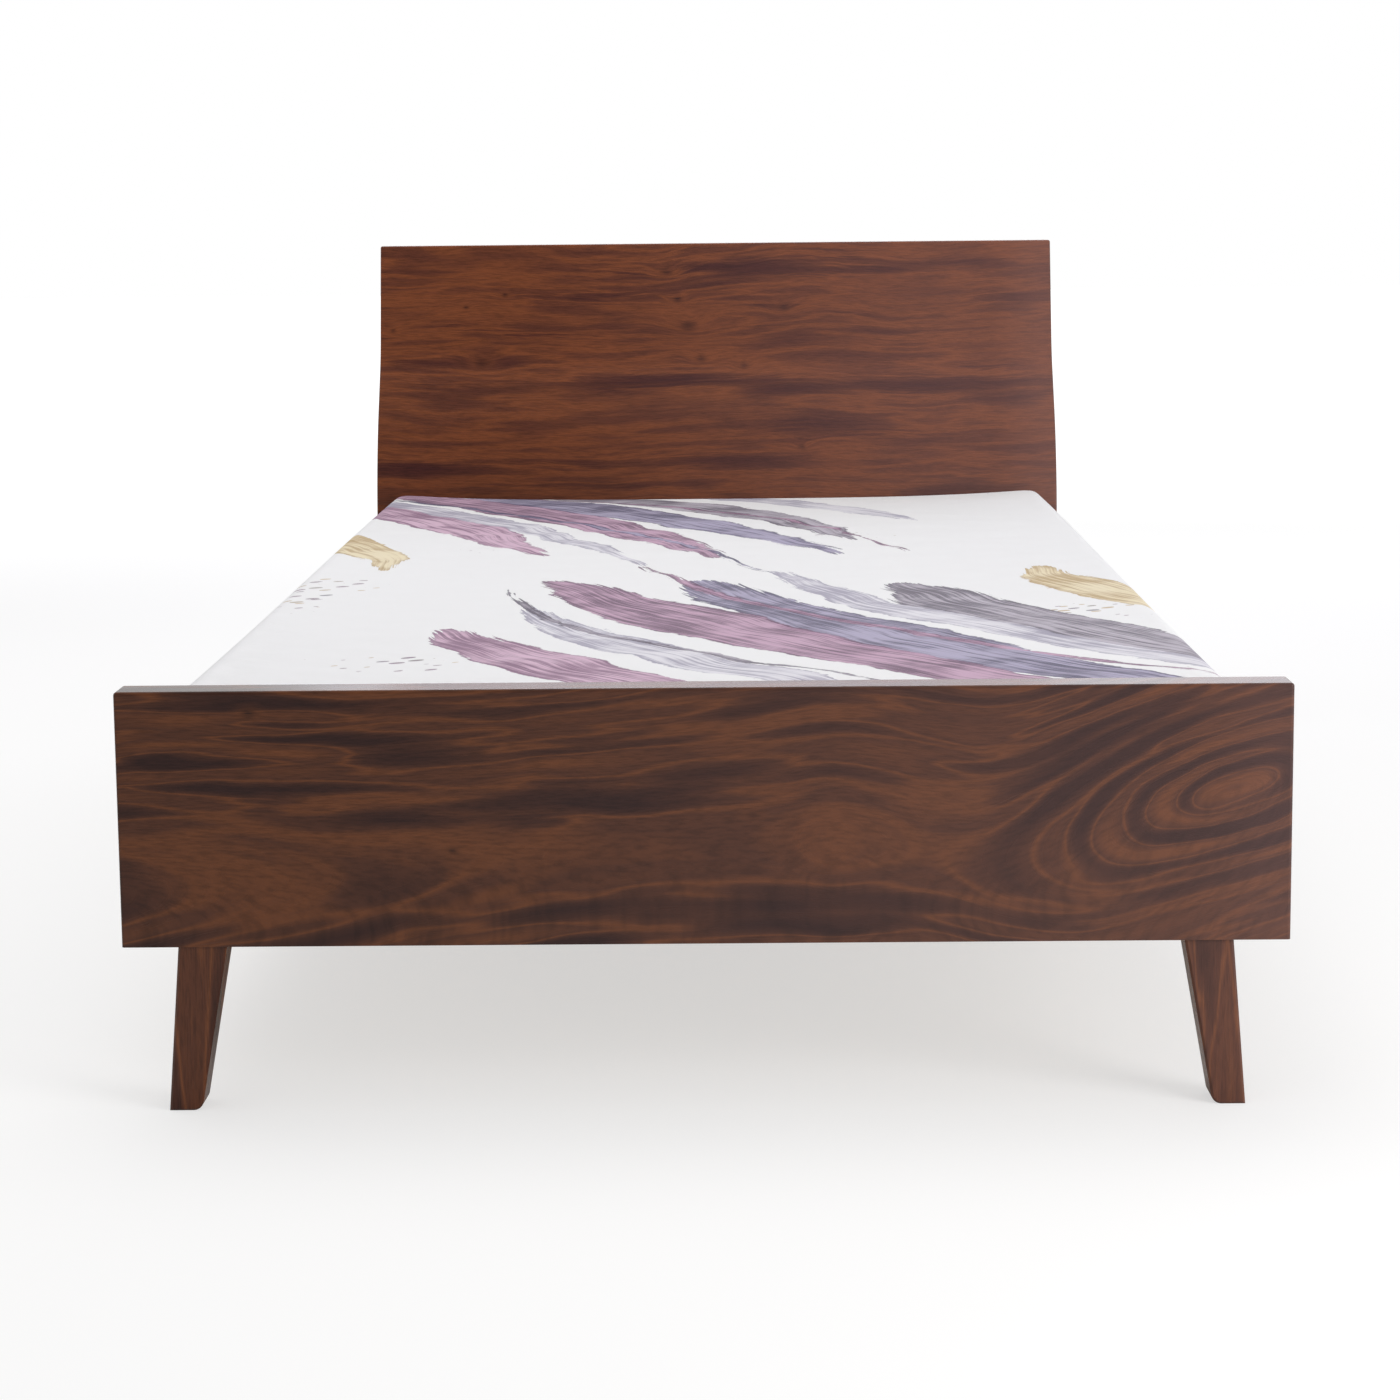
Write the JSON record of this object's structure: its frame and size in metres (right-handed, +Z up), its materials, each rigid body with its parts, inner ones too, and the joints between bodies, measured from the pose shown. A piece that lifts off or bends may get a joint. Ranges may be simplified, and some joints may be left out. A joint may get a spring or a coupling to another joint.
{
  "type": "single bed",
  "caption": "Low single bed in dark stained timber: S-curved headboard, plain footboard, splayed tapered legs, slatted base and a mattress in a printed fitted sheet.",
  "frame": {"origin": "on the floor, in the middle of the whole bed as seen from above", "axes": "+X to the right as seen from the foot, +Y from foot to head, +Z up"},
  "size_m": [1, 2.2268, 0.722],
  "materials": {
    "stained_timber": "dark walnut stain under satin lacquer",
    "pale_timber": "planed, unfinished",
    "zinc_steel": "bright zinc plate",
    "brass_insert": "turned",
    "woven_tape": "woven polyester tape",
    "mattress_ticking": "knitted ticking over foam",
    "printed_cotton": "white cotton with a printed pattern of brush strokes"
  },
  "bodies": {
    "frame": {"headboard_panel": "stained_timber", "footboard_panel": "stained_timber", "leg_front_left": "stained_timber", "leg_front_right": "stained_timber", "leg_rear_left": "stained_timber", "leg_rear_right": "stained_timber", "side_rail_left": "stained_timber", "side_rail_right": "stained_timber", "leg_bolts": "zinc_steel", "leg_inserts": "brass_insert", "leg_dowels": "pale_timber", "ledger_left": "pale_timber", "ledger_right": "pale_timber", "ledger_screws": "zinc_steel", "hook_plate_head_left": "zinc_steel", "hook_plate_head_right": "zinc_steel", "hook_plate_foot_left": "zinc_steel", "hook_plate_foot_right": "zinc_steel", "slotted_plate_head_left": "zinc_steel", "slotted_plate_head_right": "zinc_steel", "slotted_plate_foot_left": "zinc_steel", "slotted_plate_foot_right": "zinc_steel", "hook_plate_screws": "zinc_steel", "slotted_plate_screws": "zinc_steel", "slat_01": "pale_timber", "slat_02": "pale_timber", "slat_03": "pale_timber", "slat_04": "pale_timber", "slat_05": "pale_timber", "slat_06": "pale_timber", "slat_07": "pale_timber", "slat_08": "pale_timber", "slat_09": "pale_timber", "slat_10": "pale_timber", "slat_11": "pale_timber", "slat_12": "pale_timber", "slat_13": "pale_timber", "slat_14": "pale_timber", "slat_screws": "zinc_steel", "slat_tape_left": "woven_tape", "slat_tape_right": "woven_tape"},
    "bedding": {"mattress": "mattress_ticking", "fitted_sheet": "printed_cotton"}
  },
  "joints": [
    {"name": "mattress_lift", "type": "slide", "parent": "frame", "child": "bedding", "axis": [0, 0, 1], "range_m": [0, 0.5]}
  ]
}
